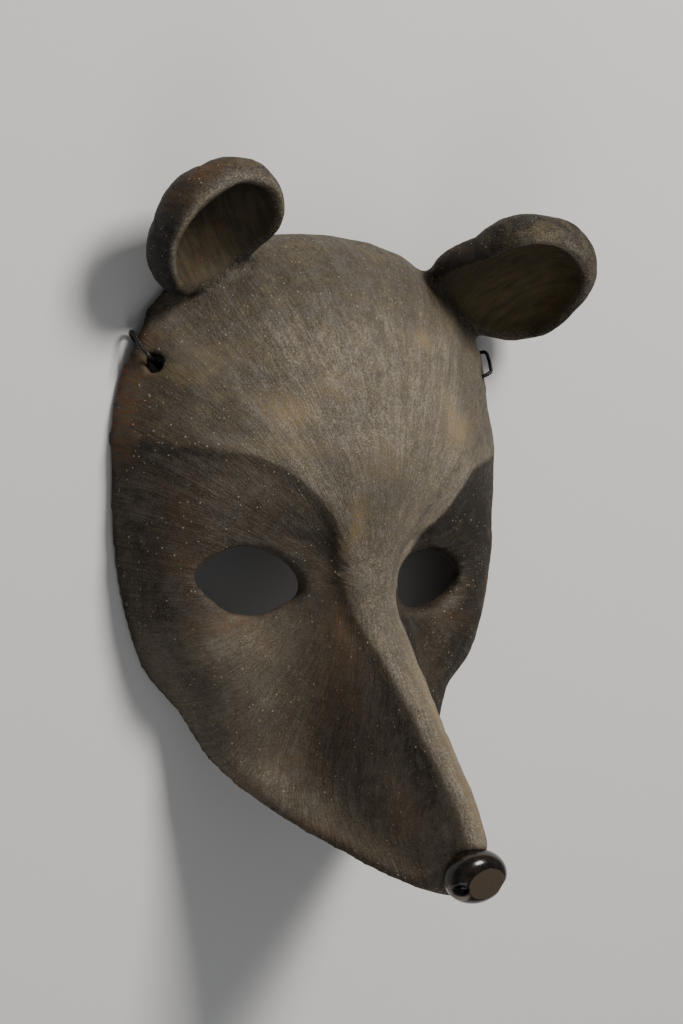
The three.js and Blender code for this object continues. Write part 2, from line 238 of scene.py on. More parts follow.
class Finish:
    """One material: its nodes, and the sockets of its main shader."""

    def __init__(self, name):
        self.material = bpy.data.materials.new(name)
        self.material.use_nodes = True
        self.tree = self.material.node_tree
        self.shader = self.tree.nodes["Principled BSDF"]

    def put(self, socket, value):
        """A signal linked to the socket, or a fixed value set on it."""
        if isinstance(value, Signal):
            self.tree.links.new(value.socket, socket)
        else:
            socket.default_value = value

    def node(self, kind, inputs, output=0, **settings):
        """A node of a kind: its settings first, then its inputs, and the signal of one output."""
        made = self.tree.nodes.new(kind)
        for key, value in settings.items():
            setattr(made, key, value)
        for key, value in inputs.items():
            self.put(made.inputs[key], value)
        return Signal(self, made.outputs[output])

    def shade(self, **sockets):
        """Inputs of the main shader, by their names with _ for a space."""
        for key, value in sockets.items():
            self.put(self.shader.inputs[key.replace("_", " ")], value)

    def attribute(self, name, output="Fac"):
        """A number stored on the points, or a vector if its output is named."""
        return self.node("ShaderNodeAttribute", {}, output, attribute_name=name)

    def scaled(self, at, factors, offset=(0.0, 0.0, 0.0)):
        """A vector times factors along its axes, plus an offset."""
        sockets = {0: at, 1: factors, 2: offset}
        return self.node("ShaderNodeVectorMath", sockets, operation="MULTIPLY_ADD")

    def place(self):
        """The point on the piece, in mm."""
        return self.scaled(self.node("ShaderNodeTexCoord", {}, "Object"), (1000.0, 1000.0, 1000.0))

    def noise(self, at, scale, detail=2.0, rough=0.5, warp=0.0):
        """Noise about 0.5, with scale lumps to each unit of the place."""
        sockets = {"Vector": at, "Scale": scale, "Detail": detail, "Roughness": rough, "Distortion": warp}
        return self.node("ShaderNodeTexNoise", sockets)

    def ease(self, value, low, high, start=0.0, end=1.0):
        """Smooth step of value from start at low to end at high."""
        sockets = {"Value": value, "From Min": low, "From Max": high, "To Min": start, "To Max": end}
        return self.node("ShaderNodeMapRange", sockets, interpolation_type="SMOOTHSTEP")

    def swing(self, value, reach, size, middle=0.0):
        """Smooth step of value about a middle, from minus half the size to plus half of it."""
        return (self.ease(value, middle - reach, middle + reach) - 0.5) * size

    def blend(self, factor, first, second):
        """Colour first where factor is 0, second where it is 1."""
        return self.node("ShaderNodeMix", {0: factor, 6: first, 7: second}, 2, data_type="RGBA")

    def coats(self, colour, layers):
        """The colour with paints laid over it in order, each given by its factor and its values."""
        for factor, *values in layers:
            colour = self.blend(factor, colour, paint(*values))
        return colour

    def ramp(self, value, stops):
        """The paint at a value's place between stops. The first has to be at 0, the last at 1."""
        made = self.node("ShaderNodeValToRGB", {"Fac": value})
        elements = made.socket.node.color_ramp.elements
        for position, *values in stops[1:-1]:
            elements.new(position).color = paint(*values)
        elements[0].color, elements[-1].color = paint(*stops[0][1:]), paint(*stops[-1][1:])
        return made

    def bump(self, height, strength, distance):
        """The surface's normal, tilted as a height would tilt it."""
        return self.node("ShaderNodeBump", {"Strength": strength, "Distance": distance, "Height": height})


def paint(red, green, blue):
    """A paint colour given in display values from 0 to 255, as the linear values a shader takes."""
    share = np.array([red, green, blue]) / 255
    linear = np.where(share <= 0.04045, share / 12.92, ((share + 0.055) / 1.055) ** 2.4)
    return (*linear.tolist(), 1.0)


print("shader helpers ready")

# %% [markdown]
# ## The tie cord
# A thin black elastic cord runs from temple to temple behind the face. Each end goes through a
# tie hole, over the edge, back in under the rim and is knotted to itself. It is a mesh tube
# round a smooth line through chosen points, so that its knots can be swellings of the same
# tube. A bevelled curve would do for the cord, but not for the knots.

# %% The cord's route
CORD_DIAMETER = 1.2
LYING = 0.8  # height of the cord's middle line where it lies
SPACING = 0.4
AT_TEMPLE = np.array([
    [52.2, 60.1, 2.65], [55.4, 61.9, 5.1], [58.7, 63.1, 7.3], [61.5, 64.1, 9.6],
    [63.5, 65.4, 10.1], [64.6, 67.2, 8.5], [65.2, 69.4, 6.8], [65.6, 71.7, 4.4],
    [64.7, 71.3, 1.9], [62.3, 69.1, LYING], [58.6, 65.6, LYING], [53.4, 61.2, LYING],
])
SLACK = np.array([
    [-43, 50], [-29, 41], [-12, 40], [0, 49], [1, 63], [-8, 74], [-12, 86],
    [-2, 94], [12, 91], [19, 79], [20, 64], [29, 53], [42, 53],
], float)
SLACK = np.insert(SLACK, 2, LYING, axis=1)


def smooth_line(points, steps):
    """A centripetal cubic through the points: each stretch's parameter grows with the square
    root of its chord, and its end slopes come from the chords on either side."""
    p = np.concatenate([[2 * points[0] - points[1]], points, [2 * points[-1] - points[-2]]])
    step, leap = np.diff(p, axis=0), p[2:] - p[:-2]
    root = np.sqrt(np.linalg.norm(step, axis=1))[:, None]
    before, chord, after = root[:-2], root[1:-1], root[2:]
    own = step[1:-1] / chord
    start = (step[:-2] / before - leap[:-1] / (before + chord) + own) * chord
    end = (own - leap[1:] / (chord + after) + step[2:] / after) * chord
    t = (np.arange(steps) / steps)[None, :, None]
    a, b, c, d = (v[:, None, :] for v in (p[1:-2], start, p[2:-1], end))
    line = (2 * t**3 - 3 * t**2 + 1) * a + (t**3 - 2 * t**2 + t) * b
    line = line + (3 * t**2 - 2 * t**3) * c + (t**3 - t**2) * d
    return np.concatenate([line.reshape(-1, 3), points[-1:]])


def even_line(line, spacing):
    """The same line with its points a fixed distance apart, and the distance run at each."""
    run = np.concatenate([[0], np.cumsum(np.linalg.norm(np.diff(line, axis=0), axis=1))])
    at = np.linspace(0, run[-1], int(round(run[-1] / spacing)) + 1)
    return np.stack([np.interp(at, run, line[:, i]) for i in range(3)], -1), at


route = smooth_line(np.concatenate([AT_TEMPLE * [-1, 1, 1], SLACK, AT_TEMPLE[::-1]]), 40)
route, run = even_line(route, SPACING)
print("cord length, mm:", round(run[-1], 1))

# %% The cord's tube and knots
SIDES = 12
KNOT = dict(at=2.2, reach=1.7, swelling=0.75)


def tube(line, run, radius_at, sides):
    """Rings about the line: radius_at(run, turn) along a sideways and an upward axis. The side
    axis starts level and is then turned back by as much as the line has twisted it."""
    along = unit(np.gradient(line, axis=0))
    side = unit(np.cross(along, [0.0, 0.0, 1.0]))
    rise = np.cross(side, along)
    steps = (np.diff(side, axis=0) * (rise[1:] + rise[:-1]) / 2).sum(1)
    twist = np.concatenate([[0], np.cumsum(steps)])
    turn = full_turn(sides)[None, :]
    angle = (turn - twist[:, None])[..., None]
    radius = radius_at(run[:, None], turn)[..., None]
    out = np.cos(angle) * side[:, None, :] + np.sin(angle) * rise[:, None, :]
    return line[:, None, :] + radius * out


def cord_radius(run, turn):
    """Half the diameter, with a swelling of wound turns near each end for its knot."""
    from_end = np.minimum(run, run.max() - run)
    knot = hump(from_end - KNOT["at"], KNOT["reach"], 4)
    winding = 0.14 * np.cos(2 * turn + from_end * 3.2) + 0.1 * np.cos(from_end * 4.5)
    end = np.sqrt(np.clip(from_end / 0.5, 0.05, 1))
    return (CORD_DIAMETER / 2 + knot * (KNOT["swelling"] + winding)) * end


mesh = closed("tie_cord", route[0], tube(route, run, cord_radius, SIDES), route[-1])
store(mesh, along_cord=np.concatenate([[0], np.repeat(run, SIDES), [run[-1]]]))
cord = add_object("tie_cord", mesh)

elastic = Finish("black_elastic")
weave = elastic.node("ShaderNodeMath", {0: elastic.attribute("along_cord") * 11.0}, operation="SINE")
fuzz = elastic.noise(elastic.place(), 3.0)
elastic.shade(
    Base_Color=elastic.blend(fuzz, paint(5, 5, 5), paint(13, 12, 12)),
    Roughness=elastic.ease(fuzz, 0.3, 0.7, 0.25, 0.42),
    Normal=elastic.bump(weave * 0.5 + fuzz * 0.6, 0.5, 0.0001),
)
cord.data.materials.append(elastic.material)
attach(cord, "root")
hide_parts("cord")
print("cord triangles:", len(mesh.polygons))

# %% [markdown]
# ## The shell's form
# The real mask is a slab of clay pressed over a form: one smooth sheet with a ridge down the
# middle. Its outer side is a height over the rim plane, worked out at every point (x, y). It
# could be sculpted or lofted from sections, but as one formula the same surface also gives the
# inside, the places of the marks and the borders of the colours.

# %% The tables of the form, in millimetres and degrees
WALL = 5.5
CENTRE_Y = 10.0
EDGE = dict(
    angle=[0, 6, 12, 20, 30, 42, 56, 72, 88, 104, 120, 140, 160, 180],
    radius=[93.5, 92, 88, 83, 77, 68.5, 67.5, 66.5, 67.5, 71.2, 79.8, 91.5, 95.5, 95],
    height=[84, 76, 58, 37, 18, 5, 0, 0, 0, 0, 0, 0, 0, 0],
    lip=[9, 8, 8, 8, 11, 18, 26, 28.5, 28.5, 27, 24.5, 21, 36, 43],
    roundness=[16, 15, 14, 13, 12, 12, 10.5, 7, 5, 3.1, 2.2, 1.7, 2.1, 2.5],
)
CORD_ARCH = dict(angle=133.5, half_width=5, height=3.6)
# Each of these has a list of y, and a list of the values there.
CREST = (
    [-92, -80, -70, -60, -50, -40, -28, -18, -9, 0, 8, 16, 26, 40, 60, 110],
    [96, 96, 95, 90.5, 83, 74, 64, 54.5, 47, 43.5, 42.5, 44, 45.5, 46, 46, 46],
)
BESIDE = (
    [-90, -60, -40, -20, -6, 5, 15, 25, 35, 48, 62, 110],
    [26, 25, 25, 27, 26.5, 27.5, 30.5, 35, 39.5, 43, 45, 45],
)
RIDGE_HALF = (
    [-90, -70, -50, -30, -10, 5, 15, 25, 33, 42, 55],
    [8.5, 10, 11.5, 12.5, 12.5, 12.5, 15, 22, 32, 48, 60],
)
# The ridge leans towards positive x on its way to the tip, and each eye lies in a hollow.
LEAN = dict(by=1.3, start=-20, end=-75)
EYE_HOLLOW = dict(across=31, along=3, wide=18, high=14)
HOLLOW_DEPTH = 2.2
# A crease runs down beside the bridge at each eye's inner corner.
CREASE = np.array([[25, 14.5], [18, 12.5], [12.5, 8.5], [9.8, 2], [9, -6], [9, -14]])
CREASE_WIDTH = 1.7


def through(x, xs, ys):
    """A cubic on each stretch between nodes, with slopes weighted from the chords either side."""
    xs, ys = np.asarray(xs, float), np.asarray(ys, float)
    span = np.diff(xs)
    chord = np.diff(ys) / span
    inner = (chord[:-1] * span[1:] + chord[1:] * span[:-1]) / (span[1:] + span[:-1])
    slope = np.concatenate([chord[:1], inner, chord[-1:]])
    x = np.clip(x, xs[0], xs[-1])
    i = np.clip(np.searchsorted(xs, x) - 1, 0, len(span) - 1)
    t = (x - xs[i]) / span[i]
    a, b = (2 * t**3 - 3 * t**2 + 1) * ys[i], (3 * t**2 - 2 * t**3) * ys[i + 1]
    return a + b + ((t**3 - 2 * t**2 + t) * slope[i] + (t**3 - t**2) * slope[i + 1]) * span[i]


def ease(low, high, x):
    """0 up to low, 1 from high, and 3t^2 - 2t^3 between. It falls if high is the lesser one."""
    t = np.clip((x - low) / (high - low), 0, 1)
    return t * t * (3 - 2 * t)


def bell(x, y, across, along, wide, high):
    """1 at a place on the face, and elsewhere e to the minus sum of (distance / reach)^2."""
    return np.exp(-(((x - across) / wide) ** 2) - ((y - along) / high) ** 2)


def edge_at(angle, what):
    """One of the edge's values at an angle, level at 0 and 180 degrees by mirrored nodes."""
    nodes, values = EDGE["angle"], EDGE[what]
    xs = [-nodes[2], -nodes[1], *nodes, 360 - nodes[-2], 360 - nodes[-3]]
    return through(angle, xs, [values[2], values[1], *values, values[-2], values[-3]])


def edge_height(angle):
    """The edge's height, plus a flat-topped bump where the cord passes under it."""
    arch = hump(angle - CORD_ARCH["angle"], CORD_ARCH["half_width"], 4)
    return np.maximum(edge_at(angle, "height"), 0) + CORD_ARCH["height"] * arch


print("ridge height at the bridge, mm:", float(through(0, *CREST)))

# %% The outer and inner surface


def base(y, angle, share):
    """The face beside the mid-line, moving to the lip's height at the edge by a power of share."""
    near_edge = share ** (3 + 4 * (1 - ease(25, 80, angle)))
    lip = edge_at(angle, "height") + edge_at(angle, "lip")
    return through(y, *BESIDE) * (1 - near_edge) + lip * near_edge


def polar(x, y):
    """Angle from the snout's direction in degrees, and share of the way out to the edge."""
    angle = np.degrees(np.arctan2(np.abs(x), CENTRE_Y - y))
    return angle, np.hypot(x, y - CENTRE_Y) / edge_at(angle, "radius")


def lean_at(y):
    """How far the crest of the ridge lies from the middle line."""
    return LEAN["by"] * ease(LEAN["start"], LEAN["end"], y)


def outer_height(x, y):
    """Base, plus the ridge as 1 / (1 + (x / half width)^3), which ends in the forehead, less the
    eye hollows, turned down at the edge by the square root of 1 - share^roundness."""
    angle, share = polar(x, y)
    share = np.minimum(share, 1)
    middle = np.where(y < CENTRE_Y, 0.0, 180.0)
    middle_share = np.minimum(np.abs(y - CENTRE_Y) / edge_at(middle, "radius"), 1)
    rise = through(y, *CREST) - base(y, middle, middle_share)
    ridge = 1 / (1 + (np.abs(x - lean_at(y)) / through(y, *RIDGE_HALF)) ** 3)
    hollow = HOLLOW_DEPTH * bell(np.abs(x), y, **EYE_HOLLOW)
    face = base(y, angle, share) + rise * ridge * (1 - ease(38, 62, y)) - hollow
    turn = np.sqrt(np.maximum(1 - share ** edge_at(angle, "roundness"), 0))
    edge = edge_height(angle)
    return edge + (face - edge) * turn


BALL = np.array([(0.0, 0.0)] + [
    (WALL * ring / 4 * np.cos(turn), WALL * ring / 4 * np.sin(turn))
    for ring in range(1, 5)
    for turn in full_turn(ring * 6)
])
BACKING = dict(y=-76.5, depth=6, start=7, end=20)


def inner_height(x, y):
    """The outer surface less a ball of the wall's thickness rolled under it, and a thicker tip."""
    drop = np.sqrt(np.maximum(WALL**2 - (BALL**2).sum(1), 0))
    under = np.min([outer_height(x + dx, y + dy) - d for (dx, dy), d in zip(BALL, drop)], axis=0)
    from_tip = np.hypot(x - NOSE_ASIDE, y - BACKING["y"])
    backing = BACKING["depth"] * (1 - ease(BACKING["start"], BACKING["end"], from_tip))
    return np.maximum(under - backing, 0)


print("forehead height, mm:", round(float(outer_height(np.array(0.0), np.array(50.0))), 2))

# %% [markdown]
# ## Closed grids for the shell, the hollow and the cutters
# The grid is polar about the face's centre, closer together round the snout, where the surface
# is steep. The shell's grid goes over the outside, round the edge and back along the inside.

# %% The shell as one closed grid
AROUND = 400
BELOW = -20
spread = np.linspace(-1, 1, AROUND, endpoint=False)
SECTORS = 180 * (0.5 * spread + 0.5 * spread**3)


def inset_at(angle):
    """The wall's thickness measured along the ray, longer where the ray meets the edge aslant."""
    angle = np.abs(angle)
    change = edge_at(angle + 1, "radius") - edge_at(np.abs(angle - 1), "radius")
    return WALL * np.hypot(1, change / np.radians(2) / edge_at(angle, "radius"))


def face_rings(count, height_at, inset):
    """Rings from near the centre to the edge, at shares that follow a sine."""
    share = np.sin(np.arange(1, count + 1) / count * np.pi / 2)[:, None]
    reach = share * (edge_at(np.abs(SECTORS), "radius") - inset)
    x, y = reach * np.sin(np.radians(SECTORS)), CENTRE_Y - reach * np.cos(np.radians(SECTORS))
    return np.stack([x, y, height_at(x, y)], -1)


def line_distance(x, y, line):
    """Distance in the plane from each point to the nearest stretch of a line of points."""
    at = np.stack([x, y], -1)[..., None, :]
    start, way = line[:-1], np.diff(line, axis=0)
    along = np.clip(((at - start) * way).sum(-1) / (way**2).sum(-1), 0, 1)
    return np.linalg.norm(at - start - along[..., None] * way, axis=-1).min(-1)


def skin_height(x, y):
    """The outer surface, less creases that are humps of the distance to the crease's line and
    fade out down the snout."""
    crease = hump(line_distance(np.abs(x), y, CREASE), CREASE_WIDTH)
    return outer_height(x, y) - crease * ease(-18, -8, y)


middle = np.array(0.0), np.array(CENTRE_Y)
outer = face_rings(110, skin_height, inset=0)
inner = face_rings(60, inner_height, inset_at(SECTORS))
centre_top = [0, CENTRE_Y, float(outer_height(*middle))]
centre_under = [0, CENTRE_Y, float(inner_height(*middle))]
skirt = inner[-1:] * [1, 1, 0] + [0, 0, BELOW]
shell = closed("shell", centre_top, np.concatenate([outer, inner[::-1]]), centre_under)
hollow = closed("hollow", centre_under, np.concatenate([inner, skirt]), [0, CENTRE_Y, BELOW])
print("shell grid:", len(shell.vertices), "points")

# %% [markdown]
# ## The ears
# Each ear was pinched from a ball of clay into a dish, and its rim rolled over before it was
# luted on. A dish could be turned with a Screw modifier, but these are oval, narrower where
# they join the head, and sunk into it, so the profile is carried round by the formula instead.

# %% Two dishes
DISH_SHARE = [0, 0.35, 0.62, 0.8, 0.87, 0.92, 1, 1.09, 1.15, 1.13, 1, 0.75, 0.4, 0]
DISH_HEIGHT = [-12.5, -11.8, -9.6, -6, -3, -0.2, 0.9, -0.2, -4, -8, -11.8, -15.2, -17.2, -18]
CUP_STATIONS = 4.6, 6  # along the profile, where the cup gives way to the rim
# Pinches of the rim and wider places of the mouth are each a turn, a reach and a size.
EARS = [
    dict(
        centre=[57.1, 90.9, 28.4], across=[0.83, -0.5, -0.25], along=[0.5, 0.42, 0.76],
        wide=45, long=47, pinch=[(183, 30, -0.2), (28, 20, -0.08), (315, 26, 0.09)],
        mouth=[(20, 55, 0.05), (205, 30, 0.06)],
    ),
    dict(
        centre=[-48.7, 99.1, 27.8], across=[-0.8, -0.57, -0.17], along=[-0.55, 0.66, 0.51],
        wide=39.5, long=39.5, pinch=[(225, 32, -0.09)], mouth=[(70, 48, -0.12), (195, 40, 0.05)],
    ),
]


def ear_axes(ear):
    """Unit axes across and along the mouth, and out of it."""
    across = unit(np.array(ear["across"]))
    along = unit(np.array(ear["along"]) - across * (across @ np.array(ear["along"])))
    out = np.cross(across, along)
    return across, along, out * np.sign(out[2])


def bells(turn, places):
    """1 plus a bell of the angle from each place, given by its turn, reach in degrees and size."""
    total = np.ones_like(turn)
    for at, reach, size in places:
        away = np.degrees(np.arccos(np.clip(np.cos(turn - np.radians(at)), -1, 1)))
        total = total + size * hump(away, reach)
    return total


def dish(ear, sides=200, steps=130):
    """Profile height over the mouth by share of its half size, carried round the mouth. The dish
    is shallower and sinks where it meets the head, and its rim is thicker or thinner in places."""
    stations = np.linspace(0, len(DISH_SHARE) - 1, steps)
    nodes = np.arange(len(DISH_SHARE))
    share = through(stations, nodes, DISH_SHARE)[1:-1, None]
    height = through(stations, nodes, DISH_HEIGHT)[1:-1, None]
    turn = full_turn(sides)[None, :]
    at_base = np.maximum(-np.sin(turn), 0) * np.minimum(share, 1)
    in_cup = 1 - ease(*CUP_STATIONS, stations[1:-1, None])
    reach = share * bells(turn, ear["pinch"]) * (1 + in_cup * (bells(turn, ear["mouth"]) - 1))
    waver = 0.15 * np.sin(3 * turn + ear["wide"]) + 0.1 * np.sin(7 * turn + ear["long"])
    waver = (waver + 0.06 * np.sin(12 * turn)) * share**4 * hump(height - 0.5, 4)
    height = height * (1 - 0.45 * at_base) - 8 * at_base**2 + waver
    across, along, out = ear_axes(ear)
    centre = np.array(ear["centre"])
    rings = (
        centre
        + (ear["wide"] / 2 * reach * np.cos(turn))[..., None] * across
        + (ear["long"] / 2 * reach * np.sin(turn))[..., None] * along
        + height[..., None] * out
    )
    return closed("ear", centre + out * DISH_HEIGHT[0], rings, centre + out * DISH_HEIGHT[-1])


dishes = [dish(ear) for ear in EARS]
print("dish points:", [len(d.vertices) for d in dishes])

# %% [markdown]
# ## Cutters: eyes, tie holes and the nose's seat
# The eye holes were cut through the leather-hard clay with a knife, so an almond prism cuts
# them. A drill makes the tie holes. The nose knob sits in a seat of its own shape.

# %% The cutters
EYES = [
    dict(x=28.4, y=0.5, half_length=14.9, half_height=9, tilt=7, point=0.35),
    dict(x=-34.6, y=0.4, half_length=17.4, half_height=10, tilt=-7, point=0.35),
]
TIE_HOLE = dict(at=[61.2, 63.2, 10.1], radius=2.9, way=[0.74, 0.22, 0.62], reach=12)
NOSE = dict(x=NOSE_ASIDE, y=-76.5, z=92.5, tilt=15)
KNOB_HALF = np.array([10, 7.8, 7])  # across, up and forward
SEAT_PRESS = 0.3


def prism(rings):
    """A closed solid from rings, capped at their means."""
    return closed("cutter", rings[0].mean(0), rings, rings[-1].mean(0))


def eye_cutter(eye):
    """An almond, drawn out from under the rim to above the face: cosine along, and a sine raised
    towards its pointed ends across, both tilted."""
    turn, tilt = full_turn(120), np.radians(eye["tilt"])
    along = eye["half_length"] * np.cos(turn)
    across = eye["half_height"] * np.sin(turn) * np.abs(np.sin(turn)) ** eye["point"]
    x = eye["x"] + along * np.cos(tilt) - across * np.sin(tilt)
    y = eye["y"] + along * np.sin(tilt) + across * np.cos(tilt)
    return prism([np.stack([x, y, np.full_like(x, z)], -1) for z in (-5, 70)])


def tie_axis(side):
    """The middle and the direction of the tie hole on the side of positive or negative x."""
    return np.array(TIE_HOLE["at"]) * [side, 1, 1], unit(np.array(TIE_HOLE["way"]) * [side, 1, 1])


def hole_cutter(side):
    """A round drill along its own way through the temple."""
    centre, way = tie_axis(side)
    level = unit(np.cross(way, [0, 0, 1]))
    turn = full_turn(40)[:, None]
    ring = TIE_HOLE["radius"] * (np.cos(turn) * level + np.sin(turn) * np.cross(way, level))
    return prism([centre + ring + end * TIE_HOLE["reach"] * way for end in (-1, 1)])


def tip_to_face(points):
    """From the knob's own axes to the face's: tilt about x, then move to the snout's end."""
    x, y, z = np.moveaxis(points, -1, 0)
    tilt = np.radians(NOSE["tilt"])
    forward, up = y * np.sin(tilt) + z * np.cos(tilt), y * np.cos(tilt) - z * np.sin(tilt)
    return np.stack([NOSE["x"] + x, NOSE["y"] + up, NOSE["z"] + forward], -1)


def knob_rings(grow, around=160, steps=120):
    """An oval ball whose front is flattened by 22% of its height cubed."""
    down, turn = np.meshgrid(np.linspace(0, np.pi, steps), full_turn(around), indexing="ij")
    forward = np.cos(down)
    forward = np.where(forward > 0, forward * (1 - 0.22 * forward**2), forward)
    round_it = [np.sin(down) * np.cos(turn), np.sin(down) * np.sin(turn), forward]
    return np.stack(round_it, -1) * (KNOB_HALF + grow)


def knob_mesh(name, rings):
    """A closed mesh at the snout's end from rings whose first and last are its poles."""
    return closed(name, *(tip_to_face(p) for p in (rings[0, 0], rings[1:-1], rings[-1, 0])))


cutters = [eye_cutter(eye) for eye in EYES] + [hole_cutter(-1), hole_cutter(1)]
cutters.append(knob_mesh("seat", knob_rings(-SEAT_PRESS, around=60, steps=40)))
print("cutters:", len(cutters))

# %% [markdown]
# ## Joining, cutting and re-meshing
# Booleans join the ears to the shell and cut the openings. Their result has long thin faces, so
# a voxel remesh of about a millimetre turns it into an even skin of small quads. Then each
# point can be relaxed and moved by numpy, as a sculptor's brush would.

# %% One body
VOXEL = 1.05


def finished(body):
    """The mesh of a work object with its modifiers applied. The object itself is removed."""
    now = body.evaluated_get(bpy.context.evaluated_depsgraph_get())
    made = bpy.data.meshes.new_from_object(now)
    bpy.data.objects.remove(body)
    return made


def joined(target, tools, operation):
    """The solid target with the tools joined on, or cut away, as a new mesh."""
    body = add_object("work", target)
    helpers = [add_object("tool", mesh) for mesh in tools]
    for helper in helpers:
        step = body.modifiers.new("step", "BOOLEAN")
        step.object, step.operation, step.solver = helper, operation, "MANIFOLD"
    made = finished(body)
    for helper in helpers:
        bpy.data.objects.remove(helper)
    return made


ears_outside = [joined(mesh, [hollow], "DIFFERENCE") for mesh in dishes]
body = joined(joined(shell, ears_outside, "UNION"), cutters, "DIFFERENCE")
print("joined body:", len(body.vertices), "points")
body = add_object("work", body)
even = body.modifiers.new("even", "REMESH")
even.mode, even.voxel_size = "VOXEL", VOXEL / 1000
skin = finished(body)
print("even skin:", len(skin.vertices), "points,", len(skin.polygons), "faces")

# %% Reading the skin into arrays


def column(items, key, kind=np.int32, width=1):
    """One value, or several, of every item of a mesh, as an array."""
    values = np.empty(len(items) * width, kind)
    items.foreach_get(key, values)
    return values.reshape(-1, width) if width > 1 else values


count = len(skin.vertices)
spots = (column(skin.vertices, "co", np.float32, 3).astype(float) - SHIFT) * 1000
edges = column(skin.edges, "vertices", width=2)
quads = column(skin.loops, "vertex_index").reshape(-1, 4)
print("corners per face:", np.unique(column(skin.polygons, "loop_total")))


def normals_of(points, quads):
    """Each face's normal from its diagonals, added up at its corners."""
    a, b, c, d = (points[quads[:, i]] for i in range(4))
    cross = np.repeat(np.cross(c - a, d - b), 4, axis=0)
    total = np.stack([np.bincount(quads.ravel(), cross[:, i], len(points)) for i in range(3)], -1)
    return total / np.maximum(np.linalg.norm(total, axis=1, keepdims=True), 1e-12)


def relax(points, weight, rounds):
    """Each point moves by its weight towards the mean of its neighbours, round after round."""
    (a, b), size = edges.T, len(points)
    neighbours = np.bincount(edges.ravel(), minlength=size)[:, None]
    weight = np.broadcast_to(weight, size)[:, None]
    for _ in range(rounds):
        near = [np.bincount(a, points[b, i], size) + np.bincount(b, points[a, i], size) for i in range(3)]
        points = points + weight * (np.stack(near, -1) / neighbours - points)
    return points


def waves(points, length, seed, count=14):
    """Gentle unevenness about one wavelength: a sum of plane waves in random directions."""
    draw = np.random.default_rng(seed)
    ways = draw.normal(size=(count, 3))
    size = np.linalg.norm(ways, axis=1, keepdims=True)
    ways *= (2 * np.pi / length) * draw.uniform(0.6, 1.5, (count, 1)) / size
    phase = draw.uniform(0, 2 * np.pi, count)
    return np.cos(points @ ways.T + phase).sum(1) / np.sqrt(count / 2)


print("mean height of the skin, mm:", round(float(spots[:, 2].mean()), 1))

# %% [markdown]
# ## Where each point is on the mask
# The brush strokes, colours and dents all need to know what part of the mask a point is on. A
# painter would mask the areas by hand. Here a few distances do it: height over the shell's
# formula, distance from the edge, and place in each ear's own mouth.

# %% Places on the shell and in the ears


def places(points):
    """Height over the outer surface, distance in from the edge, and each ear's own place."""
    x, y, z = points.T
    angle, share = polar(x, y)
    over = z - outer_height(x, y)
    inward = np.maximum(1 - share, 0) * edge_at(angle, "radius")
    from_edge = np.hypot(inward, z - edge_height(angle))
    ears = []
    for ear in EARS:
        a, b, out = (axis @ (points - np.array(ear["centre"])).T for axis in ear_axes(ear))
        across, along = a / (ear["wide"] / 2), b / (ear["long"] / 2)
        turn = np.arctan2(along, across)
        of_mouth = np.hypot(across, along) / bells(turn, ear["pinch"])
        ears.append(dict(a=a, b=b, out=out, turn=turn, share=of_mouth))
    return dict(x=x, y=y, z=z, over=over, from_edge=from_edge, share=share, ears=ears)


def ear_weight(place, index):
    """1 on the dish, 0 on the head, by height over the head and distance from the mouth."""
    ear = place["ears"][index]
    away = np.hypot(np.maximum(ear["share"] - 1.05, 0) * 20, np.maximum(ear["out"] - 3, 0))
    near = (1 - ease(3, 6, away)) * (1 - ease(20, 24, -ear["out"]))
    return near * np.where(place["share"] > 1.02, 1, ease(0.4, 3.5, place["over"]))


place = places(spots)
on_ear = [ear_weight(place, i) for i in range(2)]
print("points on the ears:", [int((w > 0.5).sum()) for w in on_ear])

# %% Smoothing the joins and rounding the cut edges
JOIN_REACH = 4.5
SNAP = dict(radius=2.95, reach=3.7, skin=0.9)  # points near a tie hole are set on its bore


def join_weight(ear):
    """How much a point belongs to the join of an ear: near the head, round the dish's edge."""
    from_mouth = ease(0.6, 0.75, ear["share"]) * (1 - ease(1.35, 1.6, ear["share"]))
    return hump(place["over"], JOIN_REACH) * from_mouth * (ear["out"] > -24)


def eye_share(x, y):
    """1 on the almond's outline, less inside it and more outside it."""
    shares = []
    for eye in EYES:
        tilt, dx, dy = np.radians(eye["tilt"]), x - eye["x"], y - eye["y"]
        along, across = dx * np.cos(tilt) + dy * np.sin(tilt), dy * np.cos(tilt) - dx * np.sin(tilt)
        shares.append(np.hypot(along / eye["half_length"], across / eye["half_height"]))
    return np.minimum(*shares)


joins = sum(join_weight(ear) for ear in place["ears"]) * (place["over"] > -3.5)
lids = hump(eye_share(place["x"], place["y"]) - 1, 0.16)
rim = hump(place["from_edge"], 4)
tip = ease(24, 14, np.hypot(place["x"] - NOSE["x"], place["y"] - NOSE["y"]))
# A little everywhere, much in the joins, and then the rim, but not at the tip, and the eyelids.
rounded = relax(spots, 0.5, 2)
rounded = relax(rounded, 0.55 * np.clip(joins, 0, 1), 30)
rounded = relax(rounded, 0.45 * rim * (1 - tip), 4)
rounded = relax(rounded, 0.45 * lids, 9)
rounded[:, 2] = np.maximum(rounded[:, 2], 0)
in_wall = (place["over"] < -SNAP["skin"]) & (place["over"] > SNAP["skin"] - WALL)
for side in (-1, 1):
    centre, way = tie_axis(side)
    along = (rounded - centre) @ way
    from_axis = rounded - centre - along[:, None] * way
    away = np.linalg.norm(from_axis, axis=1)
    drilled = (away < SNAP["radius"]) | ((away < SNAP["reach"]) & in_wall)
    drilled &= np.abs(along) < TIE_HOLE["reach"]
    push = np.where(drilled, (SNAP["radius"] - away) / np.maximum(away, 0.1), 0)
    rounded += push[:, None] * from_axis
print("moved most by, mm:", round(float(np.linalg.norm(rounded - spots, axis=1).max()), 2))

